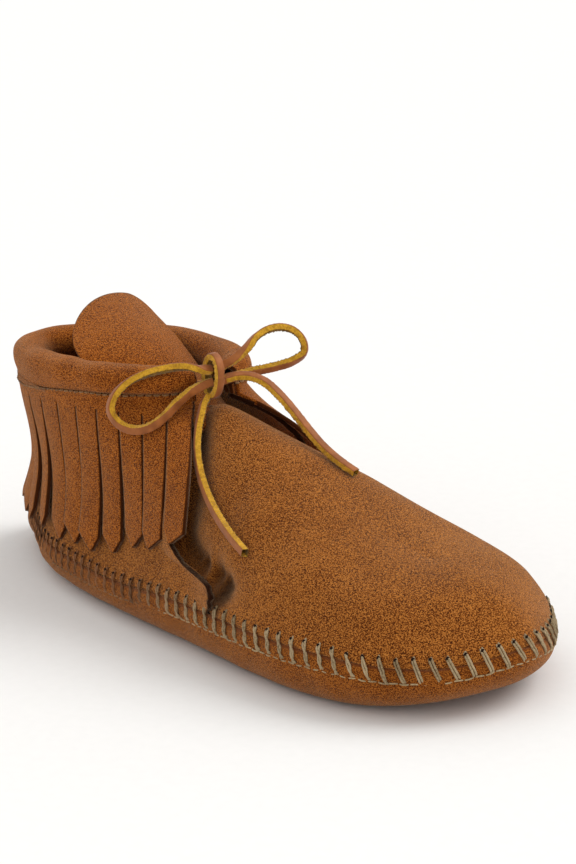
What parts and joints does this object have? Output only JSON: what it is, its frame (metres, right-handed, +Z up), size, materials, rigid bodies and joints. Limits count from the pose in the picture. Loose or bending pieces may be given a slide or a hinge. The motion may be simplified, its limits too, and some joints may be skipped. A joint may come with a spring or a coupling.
{
  "type": "moccasin boot",
  "caption": "Soft-soled suede moccasin ankle boot for the right foot, with a fringed side, rolled collar, tall tongue and a tied thong lace.",
  "frame": {"origin": "on the floor under the middle of the boot's length and width, without the free lace", "axes": "+X towards the toe, +Y towards the inner (big toe) side, +Z up"},
  "size_m": [0.252, 0.0912, 0.0957],
  "materials": {
    "suede": "napped suede, matte",
    "sole_suede": "napped suede, matte",
    "lining": "matte",
    "lace": "raw cut hide, matte"
  },
  "bodies": {
    "root": {"sole": "sole_suede", "insole": "lining", "upper": "suede", "collar": "suede", "fringe": "suede", "tongue": "suede", "lace_tie": "lace", "lace_knot": "lace", "lace_loop_near": "lace", "lace_loop_far": "lace", "lace_end_near": "lace", "lace_end_far": "lace"}
  },
  "joints": []
}
